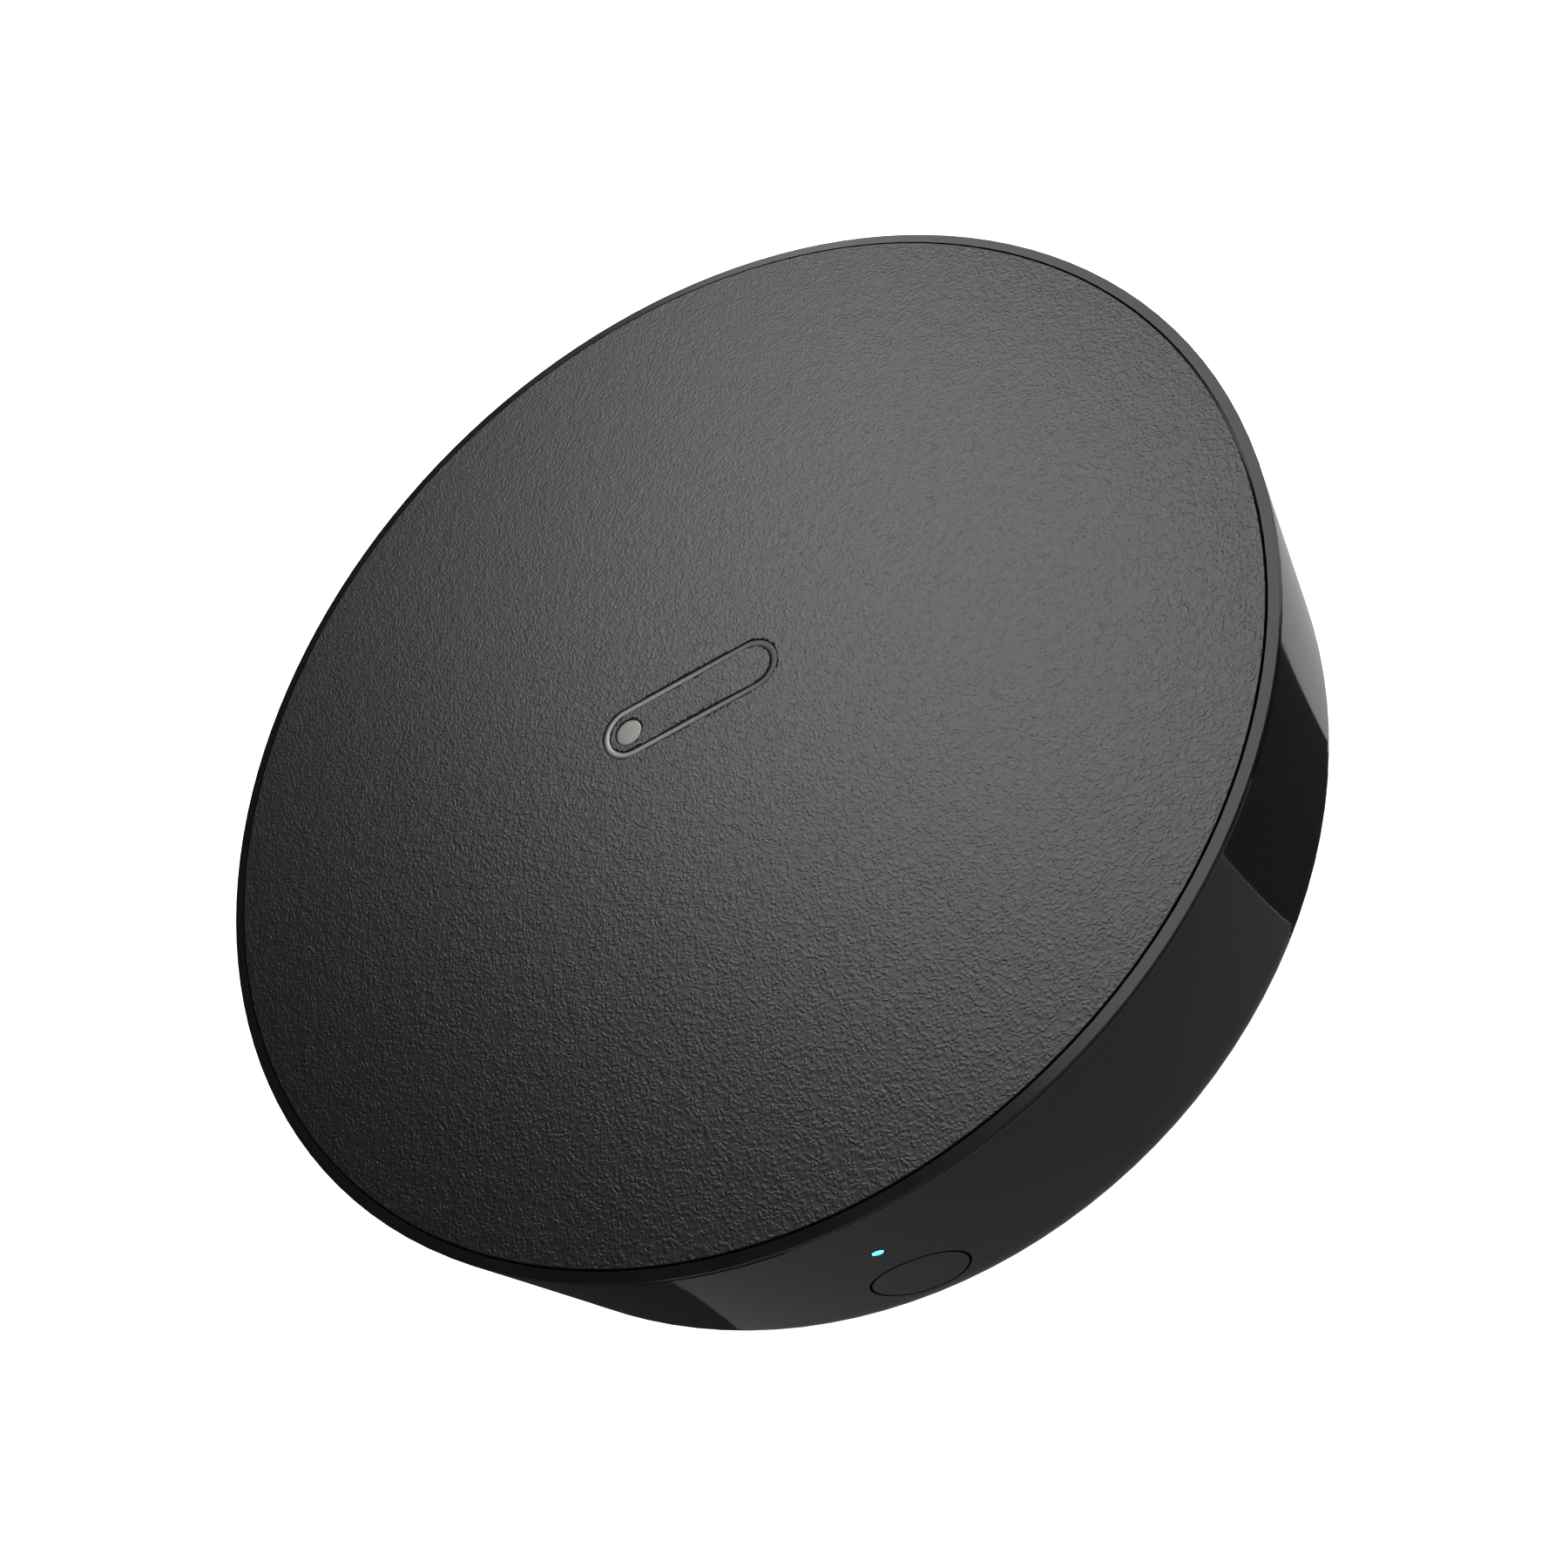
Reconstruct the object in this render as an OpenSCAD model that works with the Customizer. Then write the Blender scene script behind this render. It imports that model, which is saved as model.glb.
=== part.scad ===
// Round smart-home hub for a shelf or table.
// A leather-grain lid sits in a satin rim above a glossy infrared window band. A round button and a status
// light are at the front (-Y), a recessed socket bay is at the back (+Y), and a speaker fires downwards.
// The origin is the centre of the footprint on the table, with +Z up.

/* [Body] */
// Largest diameter, at the top rim
body_d = 100.5; // [100:0.5:104]
// Height from the table to the top of the lid
body_h = 30.75; // [30.5:0.25:31.5]
// Draft of the side band, in degrees from the vertical
wall_draft = 3; // [2:0.5:3.5]
// Radius of the rounded lower shoulder
shoulder_r = 8; // [7:0.5:8]
// Height at which the straight wall turns into the shoulder
shoulder_z = 11; // [10.5:0.25:11.5]
// Thickness of the side band
band_t = 1.9; // [1.6:0.1:2]
// Height of the parting groove under the rim
parting_h = 0.28; // [0.1:0.02:0.3]

/* [Lid] */
// Diameter of the leather-grain panel
lid_d = 98.4; // [97:0.1:98.4]
// Thickness of the panel
lid_t = 0.8; // [0.6:0.1:0.8]
// Width of the groove round the panel
lid_gap = 0.14; // [0.1:0.01:0.2]
// Length of the inlaid pictogram
emblem_l = 17.6; // [12:0.2:24]
// Width of the inlaid pictogram
emblem_w = 5.2; // [4:0.2:8]
// Width of the pictogram's line
emblem_line = 0.65; // [0.4:0.05:1]
// Depth of the inlay in the panel
emblem_t = 0.2; // [0.1:0.05:0.3]

/* [Button and light] */
// Radius of the button cap
button_r = 3.83; // [3.6:0.01:4.3]
// Gap round the button cap
button_gap = 0.24; // [0.1:0.02:0.3]
// Depth of the button's centre below the top of the lid
button_drop = 15.75; // [15:0.05:16]
// Travel of the button
button_travel = 0.4; // [0.2:0.05:0.5]
// Depth of the light's centre below the top of the lid
light_drop = 7.7; // [7.2:0.1:8]
// Radius of the light's window
light_r = 0.45; // [0.3:0.05:0.8]

/* [Inside] */
// Height of the main board's upper face
board_z = 12; // [12:0.25:12.25]
// Thickness of the main board
board_t = 1.6; // [1.2:0.2:1.6]
// Distance of the housing screws from the centre
screw_ring_r = 35.5; // [35:0.25:36]
// Radius of the speaker's frame
speaker_r = 14; // [13.5:0.25:14]
// Thickness of the foot pads, of which a little sits in the base
pad_t = 2.3; // [2.2:0.1:2.4]

/* [Hidden] */
$fn = 96;
over = 1;
body_r = body_d / 2;

// Rim and lid
rim_edge_z = body_h - 0.29;
rim_low_z = body_h - 0.45;
rim_land_z = body_h - 0.06;
rim_bevel = 0.03;
band_top = rim_low_z - parting_h;
ledge_z = band_top - 1.02;
lip_r = body_r - 0.43;
groove_floor_r = lip_r - 0.02;
lid_r = lid_d / 2;
lid_z = body_h - lid_t;
tape_t = 0.2;
plate_top = lid_z - tape_t;
plate_t = 1.6;
plate_z = plate_top - plate_t;
recess_r = lid_r + lid_gap;
emblem_at = [-0.3, -0.6];

// Side band and shoulder
function wall_r(z) = body_r - (rim_edge_z - z) * tan(wall_draft);
function inner_wall_r(z) = wall_r(z) - band_t / cos(wall_draft);
function arc_points(centre, r, a0, a1, n) =
    [for (i = [0:n]) let (a = a0 + (a1 - a0) * i / n) centre + r * [cos(a), sin(a)]];
shoulder_c = [
    wall_r(shoulder_z) - shoulder_r * cos(wall_draft),
    shoulder_z + shoulder_r * sin(wall_draft)
];
shoulder_low_z = shoulder_c[1] - shoulder_r;
band_end = 48;
joint_gap = 1.4;
edge_break = 0.08;

// Base
base_z = 2;
floor_t = 2;
floor_z = base_z + floor_t;
pedestal_r = 40;
skirt_ro = shoulder_c[0] + (shoulder_r - band_t) * cos(band_end + joint_gap) - 0.08;
skirt_ri = skirt_ro - 1.6;
skirt_top = board_z - 1.8;
pad_in = 32;
pad_out = 39;
pad_span = 76;
pad_edge = 0.3;
pad_gap = 0.1;

// Screws: head and clearance sizes
screw_at = screw_ring_r * cos(45);
pocket_r = 2.4;
pocket_top = 6;
post_r = 3.6;
shaft_hole_r = 1.4;
boss_r = 3;
pilot_r = 1.15;
screw_r = 1.1;
screw_end = board_z + 8;
board_screw_x = 36;
board_post_r = 2.6;
board_pilot_r = 0.85;
board_screw_r = 0.8;

// Board
board_low = board_z - board_t;
board_r = body_r - 6.65;
board_back = 40.8;

// Socket bay, whose floor faces +Y
bay_y = body_r - 7.75;
bay_plate_t = 1.5;
bay_w = 46;
bay_z0 = 11.2;
bay_z1 = 26.2;
bay_wall = 0.8;
bay_clear = 0.15;
bay_corner = 1.6;
bay_from = 30;
mouth_y = bay_y - 0.1;

// Network socket
net_x = 13;
net_w = 16.1;
net_h = 13.4;
net_l = 21;
net_shell_t = 0.3;
net_cavity_w = 11.8;
net_cavity_z = [14.4, 21.4];
net_cavity_l = 13;
net_latch_w = 6.2;
net_latch_z = 13.1;
insert_set_back = 0.2;
net_pins = 8;
net_pitch = 1.02;

// USB socket
usb_x = -4.5;
usb_w = 13.1;
usb_h = 5.7;
usb_l = 14;
usb_z = board_z + 0.6;
usb_shell_t = 0.3;
usb_tongue_z = usb_z + 3;

// Power socket
power_x = -17.5;
power_w = 7.5;
power_h = 2.7;
power_l = 5.6;
power_z = board_z + 0.1;
power_shell_t = 0.25;

// Button, switch and light
button_z = body_h - button_drop;
hole_r = button_r + button_gap;
flange_y = -(body_r - 3.55);
flange_t = 0.8;
flange_r = button_r + 1.2;
stem_r = 1.6;
stem_gap = 0.05;
switch_y = -(body_r - 7.75);
switch_l = 3.8;
plunger_r = 1.3;
plunger_out = 1.9;
plunger_in = 0.5;
light_z = body_h - light_drop;
light_leg_y = -36;
light_leg_r = 1.25;
light_arm_r = 1.1;
light_front_y = -(body_r - 2.75);
light_recess = 0.04;
light_gap = 0.1;
inlay_drop = 0.08;
led_t = 0.6;

// Speaker
speaker_at = [0, -6];
mesh_t = 0.15;
gasket_t = 0.5;
basket_z = floor_z + mesh_t + gasket_t;
basket_top = basket_z + 2.95;
frame_t = 0.8;
cone_r = 11.6;
cone_z = basket_z + 0.65;
coil_ri = 6.1;
coil_ro = 6.7;
magnet_r = 8;
magnet_z = basket_z + 2.35;
magnet_top = board_low - 0.5;
grille_hole_r = 0.75;
grille_pitch = 3.2;
grille_rings = 3;

// Infrared parts
ir_angles = [-60, -15, 30, 150, 195, 240];
ir_r = 1.5;
ir_z = board_z + 0.4 + ir_r;

// Antennas and coaxial leads, each routed from the radio board to its antenna
antenna_from = [-50, 25];
antenna_span = 30;
antenna_z = [17, 24];
antenna_t = 0.25;
coax_r = 0.55;
coax_routes = [
    [[30, -18, 13.4], [30.5, -18.5, 16.5], [33, -21, 18.5], [38.3, -26.8, 20]],
    [[30, 2, 13.4], [30.5, 3, 16.5], [33, 14, 18.5], [35.8, 30, 20]]
];

// Speaker leads, from the frame's tab to the socket under the board
lead_r = 0.4;
lead_ys = [-4.8, -7.2];
lead_from = [15, 7.99];
lead_to = [18.46, 9.1];
speaker_socket_at = [20, -9];
speaker_socket_lip = 1.4;

// Places of parts on the board, as [x, y]
processor_at = [-8, 2];
memory_at = [-8, 13.5];
spreader_at = [-8, 5];
radio_at = [24, -8];
shield_at = [23, -8];
transformer_at = [14, 12];
crystal_at = [6, -12];
receiver_at = [-11, -38];
capacitors_at = [[-27, -12], [-20, -18], [-12, -22]];
inductors_at = [[-30, 13.5], [-30, 5]];
chip_t = 1.2;
pad_on_chip_t = 0.8;
radio_board_t = 0.8;

// Shapes that repeat

module revolve(points) {
    rotate_extrude() polygon(points);
}

module revolve_sector(points, from, span) {
    rotate([0, 0, from]) rotate_extrude(angle = span) polygon(points);
}

module disc(r, z, t) {
    translate([0, 0, z]) cylinder(r = r, h = t);
}

module ring(ri, ro, z, t) {
    difference() {
        disc(ro, z, t);
        disc(ri, z - over, t + 2 * over);
    }
}

// A box given by its low corner and size, both in the body's axes
module block(low, size) {
    translate(low) cube(size);
}

// A cylinder along +Y from y0 to y1
module rod_y(x, z, r, y0, y1) {
    translate([x, y0, z]) rotate([-90, 0, 0]) cylinder(r = r, h = y1 - y0);
}

// A flat rounded rectangle in the XZ plane, extruded from y0 to y1
module rounded_block_y(x0, x1, z0, z1, r, y0, y1) {
    block([x0 + r, y0, z0], [x1 - x0 - 2 * r, y1 - y0, z1 - z0]);
    block([x0, y0, z0 + r], [x1 - x0, y1 - y0, z1 - z0 - 2 * r]);
    for (x = [x0 + r, x1 - r])
        for (z = [z0 + r, z1 - r])
            rod_y(x, z, r, y0, y1);
}

// A round wire through a list of points, with a slightly swollen ball at each bend. The balls are turned so
// that their poles and seams stay off the wire's own axes.
module wire(points, r) {
    for (i = [0:len(points) - 2]) {
        step = points[i + 1] - points[i];
        translate(points[i])
            rotate([0, acos(step[2] / norm(step)), atan2(step[1], step[0])])
                cylinder(r = r, h = norm(step), $fn = 16);
    }
    if (len(points) > 2)
        for (i = [1:len(points) - 2])
            translate(points[i]) rotate([20, 35, 50]) sphere(r = 1.08 * r, $fn = 16);
}

// The outside of the straight drafted wall, filled
module wall_envelope(inset) {
    revolve([
        [0, shoulder_z - 2],
        [wall_r(shoulder_z - 2) - inset, shoulder_z - 2],
        [wall_r(band_top) - inset, band_top],
        [0, band_top]
    ]);
}

module at_housing_screws() {
    for (x = [-screw_at, screw_at])
        for (y = [-screw_at, screw_at])
            translate([x, y, 0]) children();
}

module at_board_screws() {
    for (x = [-board_screw_x, board_screw_x]) translate([x, 0, 0]) children();
}

// Lid and cover

module pictogram(line) {
    half = emblem_l / 2 - emblem_w / 2;
    difference() {
        stadium(half, emblem_w / 2);
        stadium(half, emblem_w / 2 - line);
    }
    translate([-half, 0]) circle(r = emblem_w / 2 - 2 * line);
}

module stadium(half, r) {
    translate([-half, -r]) square([2 * half, 2 * r]);
    translate([-half, 0]) circle(r = r);
    translate([half, 0]) circle(r = r);
}

module emblem_solid(z, t) {
    translate([emblem_at[0], emblem_at[1], z]) linear_extrude(height = t) pictogram(emblem_line);
}

module lid_panel() {
    edge = 0.12;
    color([0.22, 0.22, 0.22]) difference() {
        revolve([
            [0, lid_z], [lid_r, lid_z], [lid_r, body_h - edge], [lid_r - edge, body_h], [0, body_h]
        ]);
        emblem_solid(body_h - emblem_t, emblem_t + over);
    }
}

module emblem() {
    color([0.62, 0.61, 0.6]) emblem_solid(body_h - emblem_t, emblem_t - inlay_drop);
}

module lid_tape() {
    color([0.85, 0.85, 0.82]) disc(lid_r - 0.6, plate_top, tape_t);
}

module top_cover() {
    cover_skirt_ri = body_r - 3.85;
    cover_skirt_ro = body_r - 2.35;
    cover_skirt_z = plate_z - 3.15;
    rib = [20, 1, 1.5];
    rib_from = 12;
    color([0.17, 0.17, 0.17]) {
        difference() {
            revolve([
                [0, plate_z], [cover_skirt_ri, plate_z], [cover_skirt_ri, cover_skirt_z],
                [cover_skirt_ro, cover_skirt_z], [cover_skirt_ro, ledge_z], [groove_floor_r, ledge_z],
                [groove_floor_r, rim_low_z], [body_r, rim_low_z], [body_r, rim_land_z - rim_bevel],
                [body_r - rim_bevel, rim_land_z], [recess_r + rim_bevel, rim_land_z],
                [recess_r, rim_land_z - rim_bevel], [recess_r, plate_top], [0, plate_top]
            ]);
            block(
                [-bay_w / 2 - 1, bay_from, cover_skirt_z - over],
                [bay_w + 2, body_r - bay_from, plate_z - cover_skirt_z + over]
            );
        }
        at_housing_screws() ring(pilot_r, boss_r, board_z, screw_end + 1 - board_z);
        at_housing_screws() disc(boss_r, screw_end + 1, plate_z - screw_end - 1);
        for (a = [0:45:315])
            rotate([0, 0, a]) block([rib_from, -rib[1] / 2, plate_z - rib[2]], rib);
    }
}

// Side band and base

module side_band() {
    color([0.06, 0.06, 0.065]) difference() {
        revolve(concat(
            [
                [lip_r, ledge_z], [lip_r, band_top], [wall_r(band_top) - edge_break, band_top],
                [wall_r(band_top - edge_break), band_top - edge_break]
            ],
            arc_points(shoulder_c, shoulder_r, -wall_draft, -band_end, 12),
            arc_points(shoulder_c, shoulder_r - band_t, -band_end, -wall_draft, 12),
            [[inner_wall_r(ledge_z), ledge_z]]
        ));
        rounded_block_y(
            -bay_w / 2 - bay_clear, bay_w / 2 + bay_clear, bay_z0 - bay_clear, bay_z1 + bay_clear,
            bay_corner + bay_clear, bay_from, body_r + over
        );
        rod_y(0, button_z, hole_r, -body_r - over, -30);
        rod_y(0, light_z, light_r + light_gap, -body_r - over, -30);
    }
}

module bottom_housing() {
    inner_r = shoulder_r - band_t;
    end_angle = band_end + joint_gap;
    edge = shoulder_c + inner_r * [cos(end_angle), -sin(end_angle)];
    shelf_z = floor_z + 1.4;
    shelf_r = pad_out - 0.5;
    color([0.1, 0.1, 0.1]) difference() {
        union() {
            revolve(concat(
                [
                    [0, base_z], [pedestal_r - 0.5, base_z], [pedestal_r, base_z + 0.5],
                    [pedestal_r, shoulder_low_z]
                ],
                arc_points(shoulder_c, shoulder_r, -90, -end_angle, 10),
                [
                    edge, [skirt_ro, edge[1] + 0.1], [skirt_ro, skirt_top], [skirt_ri, skirt_top],
                    [skirt_ri, shelf_z + 0.8], [shelf_r + 3, shelf_z], [shelf_r, shelf_z],
                    [shelf_r - 1.4, floor_z], [0, floor_z]
                ]
            ));
            at_housing_screws() disc(post_r, floor_z - 1, board_low - floor_z + 1);
            at_board_screws() disc(board_post_r, floor_z - 1, board_low - floor_z + 1);
        }
        at_housing_screws() disc(pocket_r, base_z - over, pocket_top - base_z + over);
        at_housing_screws() disc(shaft_hole_r, base_z, board_low);
        at_board_screws() disc(board_pilot_r, floor_z + 0.5, board_low);
        for (i = [0:3]) foot_recess(i);
        translate(speaker_at) grille_holes();
    }
}

module grille_holes() {
    disc(grille_hole_r, base_z - over, floor_t + 2 * over);
    for (ring_n = [1:grille_rings])
        for (k = [0:6 * ring_n - 1])
            rotate([0, 0, 60 * k / ring_n])
                translate([grille_pitch * ring_n, 0, 0])
                    disc(grille_hole_r, base_z - over, floor_t + 2 * over);
}

function pad_from(i) = 45 + 90 * i - pad_span / 2;

module foot_recess(i) {
    revolve_sector([
        [pad_in, base_z - over], [pad_out, base_z - over], [pad_out, pad_t], [pad_in, pad_t]
    ], pad_from(i), pad_span);
}

module foot_pad(i) {
    ri = pad_in + pad_gap;
    ro = pad_out - pad_gap;
    color([0.12, 0.12, 0.12]) revolve_sector([
        [ri + pad_edge, 0], [ro - pad_edge, 0], [ro, pad_edge], [ro, pad_t], [ri, pad_t], [ri, pad_edge]
    ], pad_from(i) + pad_gap, pad_span - 2 * pad_gap);
}

// Button, switch and light

module button_cap() {
    color([0.07, 0.07, 0.075]) {
        intersection() {
            rod_y(0, button_z, button_r, -body_r - over, flange_y);
            wall_envelope(0);
        }
        rod_y(0, button_z, flange_r, flange_y, flange_y + flange_t);
        rod_y(0, button_z, stem_r, flange_y + flange_t, switch_y - plunger_out - stem_gap);
    }
}

module switch_body() {
    w = 6;
    color([0.2, 0.2, 0.2]) difference() {
        block([-w / 2, switch_y, board_z], [w, switch_l, button_z + 2.4 - board_z]);
        rod_y(0, button_z, plunger_r + 0.08, switch_y - over, switch_y + plunger_in + button_travel + 0.7);
    }
}

module switch_plunger() {
    color([0.85, 0.85, 0.8]) rod_y(0, button_z, plunger_r, switch_y - plunger_out, switch_y + plunger_in);
}

module status_led() {
    w = 1.6;
    color([0.95, 0.95, 0.85]) block([-w / 2, light_leg_y - w / 2, board_z], [w, w, led_t]);
}

module light_pipe() {
    foot_r = 2;
    foot_h = 1.4;
    mirror_w = 6;
    color([0.8, 0.9, 0.92]) difference() {
        union() {
            translate([0, light_leg_y, 0]) disc(foot_r, board_z, foot_h);
            translate([0, light_leg_y, 0]) disc(light_leg_r, board_z, light_z - board_z + 0.5);
            rod_y(0, light_z, light_arm_r, light_front_y, light_leg_y);
            intersection() {
                rod_y(0, light_z, light_r, -body_r - over, light_front_y);
                wall_envelope(light_recess);
            }
        }
        // 45 degree mirror face at the bend
        translate([0, light_leg_y, light_z])
            rotate([-45, 0, 0])
                block([-mirror_w / 2, -mirror_w / 2, 0.3], [mirror_w, mirror_w, 4]);
        // pocket over the diode
        translate([0, light_leg_y, 0]) disc(1.4, board_z - over, led_t + 0.3 + over);
    }
}

// Sockets

module socket_bezel() {
    x = bay_w / 2;
    color([0.09, 0.09, 0.09]) difference() {
        intersection() {
            rounded_block_y(-x, x, bay_z0, bay_z1, bay_corner, bay_y - bay_plate_t, body_r + over);
            wall_envelope(0);
        }
        rounded_block_y(
            -x + bay_wall, x - bay_wall, bay_z0 + bay_wall, bay_z1 - bay_wall, bay_corner - bay_wall,
            bay_y, body_r + 2 * over
        );
        socket_window(net_x, net_w, board_z, board_z + net_h);
        socket_window(usb_x, usb_w, usb_z, usb_z + usb_h);
        socket_window(power_x, power_w, power_z, power_z + power_h);
    }
}

// A window round a socket's shell in the bezel
module socket_window(x, w, z0, z1) {
    gap = 0.1;
    block([x - w / 2 - gap, bay_from, z0 - gap], [w + 2 * gap, bay_y + over - bay_from, z1 - z0 + 2 * gap]);
}

// A sheet-metal socket shell, open at the front
module socket_shell(x, w, z, h, l, t) {
    color([0.75, 0.75, 0.76]) difference() {
        block([x - w / 2, mouth_y - l, z], [w, l, h]);
        block([x - w / 2 + t, mouth_y - l + t, z + t], [w - 2 * t, l, h - 2 * t]);
    }
}

module network_shell() {
    socket_shell(net_x, net_w, board_z, net_h, net_l, net_shell_t);
}

module network_insert() {
    t = net_shell_t;
    front = mouth_y - insert_set_back;
    back = mouth_y - net_l + t;
    color([0.1, 0.1, 0.1]) difference() {
        block([net_x - net_w / 2 + t, back, board_z + t], [net_w - 2 * t, front - back, net_h - 2 * t]);
        block(
            [net_x - net_cavity_w / 2, front - net_cavity_l, net_cavity_z[0]],
            [net_cavity_w, net_cavity_l + over, net_cavity_z[1] - net_cavity_z[0]]
        );
        block(
            [net_x - net_latch_w / 2, front - net_cavity_l, net_latch_z],
            [net_latch_w, net_cavity_l + over, net_cavity_z[0] - net_latch_z + 0.1]
        );
    }
}

module network_contacts() {
    first = net_x - net_pitch * (net_pins - 1) / 2;
    top = net_cavity_z[1] - 0.25;
    spring_from = 2;
    spring_to = 9.5;
    spring_fall = 1.9;
    color([0.85, 0.7, 0.3]) for (i = [0:net_pins - 1])
        wire([
            [first + net_pitch * i, mouth_y - spring_from, top],
            [first + net_pitch * i, mouth_y - spring_to, top - spring_fall]
        ], 0.2);
}

module usb_shell() {
    socket_shell(usb_x, usb_w, usb_z, usb_h, usb_l, usb_shell_t);
}

module usb_tongue() {
    t = usb_shell_t;
    back = mouth_y - usb_l + t;
    tongue = [11.1, usb_l - 1.2, 1.84];
    root_l = 4;
    color([0.12, 0.12, 0.12]) {
        block([usb_x - usb_w / 2 + t, back, usb_z + t], [usb_w - 2 * t, root_l, usb_h - 2 * t]);
        block([usb_x - tongue[0] / 2, back, usb_tongue_z], tongue);
    }
}

module usb_contacts() {
    strip = [1, 7.4, 0.15];
    color([0.85, 0.7, 0.3]) for (x = [-3.5, -1, 1, 3.5])
        block([usb_x + x - strip[0] / 2, mouth_y - 8.4, usb_tongue_z - strip[2]], strip);
}

module power_shell() {
    socket_shell(power_x, power_w, power_z, power_h, power_l, power_shell_t);
}

module power_tongue() {
    t = power_shell_t;
    back = mouth_y - power_l + t;
    tongue = [3.7, power_l - 1.3, 0.6];
    root_l = 1.6;
    color([0.12, 0.12, 0.12]) {
        block([power_x - power_w / 2 + t, back, power_z + t], [power_w - 2 * t, root_l, power_h - 2 * t]);
        block([power_x - tongue[0] / 2, back, power_z + 1.1], tongue);
    }
}

// Main board and what is on it

module main_board() {
    color([0.05, 0.25, 0.15]) difference() {
        intersection() {
            disc(board_r, board_low, board_t);
            block([-body_r, -body_r, board_low - over], [body_d, body_r + board_back, board_t + 2 * over]);
        }
        at_housing_screws() disc(shaft_hole_r + 0.3, board_low - over, board_t + 2 * over);
        at_board_screws() disc(board_screw_r + 0.4, board_low - over, board_t + 2 * over);
    }
}

module chip(at, size, z) {
    block([at[0] - size[0] / 2, at[1] - size[1] / 2, z], size);
}

module processor() {
    color([0.08, 0.08, 0.09]) chip(processor_at, [13, 13, chip_t], board_z);
}

module memory_chip() {
    color([0.08, 0.08, 0.09]) chip(memory_at, [11, 7.5, 1], board_z);
}

module thermal_pad() {
    color([0.5, 0.6, 0.75]) chip(processor_at, [13, 13, pad_on_chip_t], board_z + chip_t);
}

module heat_spreader() {
    size = [29, 24, 1];
    leg = [1, 6, chip_t + pad_on_chip_t];
    leg_x = (size[0] - leg[0]) / 2;
    color([0.75, 0.76, 0.78]) {
        chip(spreader_at, size, board_z + leg[2]);
        for (x = [-leg_x, leg_x]) chip(spreader_at + [x, 0], leg, board_z);
    }
}

module radio_board() {
    color([0.05, 0.15, 0.3]) chip(radio_at, [18, 25, radio_board_t], board_z);
}

module radio_shield() {
    size = [14, 17, 2];
    sheet = 0.2;
    color([0.75, 0.75, 0.77]) difference() {
        chip(shield_at, size, board_z + radio_board_t);
        chip(shield_at, size - sheet * [2, 2, 1], board_z + radio_board_t);
    }
}

module network_transformer() {
    color([0.1, 0.1, 0.11]) chip(transformer_at, [12, 14, 5.5], board_z);
}

module capacitor(i) {
    can_r = 3.15;
    can_h = 9;
    crimp_z = 1.4;
    crimp_h = 0.4;
    color([0.15, 0.15, 0.3]) translate(capacitors_at[i]) {
        disc(can_r, board_z, crimp_z);
        disc(can_r - 0.2, board_z, crimp_z + crimp_h + 0.2);
        disc(can_r, board_z + crimp_z + crimp_h, can_h - crimp_z - crimp_h);
    }
}

module crystal() {
    color([0.75, 0.75, 0.76]) translate([crystal_at[0], crystal_at[1], board_z])
        linear_extrude(height = 3.4) stadium(3.2, 2.2);
}

module inductor(i) {
    at = inductors_at[i];
    plate = [6.5, 6.5, 1];
    core_r = 2.9;
    core_h = 2;
    color([0.25, 0.24, 0.23]) {
        chip(at, plate, board_z);
        translate(at) disc(core_r, board_z + plate[2], core_h);
        chip(at, plate, board_z + plate[2] + core_h);
    }
}

module ir_led(i) {
    tip = board_r + 0.2;
    flange_h = 0.8;
    barrel = 4;
    color([0.35, 0.3, 0.4]) rotate([0, 0, ir_angles[i]]) translate([0, 0, ir_z]) rotate([0, 90, 0]) {
        disc(ir_r + 0.3, tip - barrel - flange_h, flange_h);
        disc(ir_r, tip - barrel, barrel);
        translate([0, 0, tip]) sphere(r = ir_r, $fn = 32);
    }
}

module ir_receiver() {
    size = [5, 3.6, 5.6];
    lens_z = 3.4;
    color([0.1, 0.1, 0.12]) {
        chip(receiver_at, size, board_z);
        translate([receiver_at[0], receiver_at[1] - size[1] / 2, board_z + lens_z]) sphere(r = 1.3, $fn = 32);
    }
}

module antenna(i) {
    z0 = antenna_z[0];
    z1 = antenna_z[1];
    color([0.75, 0.55, 0.2]) revolve_sector([
        [inner_wall_r(z0) - antenna_t, z0], [inner_wall_r(z0), z0],
        [inner_wall_r(z1), z1], [inner_wall_r(z1) - antenna_t, z1]
    ], antenna_from[i], antenna_span);
}

module coax(i) {
    route = coax_routes[i];
    start = route[0];
    color([0.2, 0.2, 0.2]) {
        translate([start[0], start[1], 0]) disc(1, board_z + radio_board_t, 1);
        wire(route, coax_r);
    }
}

// Speaker, which fires down through the base

module speaker_part() {
    translate([speaker_at[0], speaker_at[1], 0]) children();
}

module speaker_mesh() {
    color([0.1, 0.1, 0.1]) speaker_part() disc(speaker_r - 1, floor_z, mesh_t);
}

module speaker_gasket() {
    color([0.2, 0.2, 0.2]) speaker_part() ring(speaker_r - 1.2, speaker_r, floor_z + mesh_t, gasket_t);
}

module speaker_basket() {
    top_t = 0.6;
    tab = [2.5, 6, top_t];
    vent_r = 1.4;
    vent_ring_r = 10.6;
    color([0.3, 0.3, 0.31]) speaker_part() difference() {
        union() {
            ring(speaker_r - frame_t, speaker_r, basket_z, basket_top - basket_z);
            disc(speaker_r, basket_top - top_t, top_t);
            block([speaker_r - 0.5, -tab[1] / 2, basket_top - top_t], tab);
        }
        disc(magnet_r + 0.02, basket_top - top_t - over, top_t + 2 * over);
        for (a = [30:60:330])
            rotate([0, 0, a]) translate([vent_ring_r, 0, 0])
                disc(vent_r, basket_top - top_t - over, top_t + 2 * over);
    }
}

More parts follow.
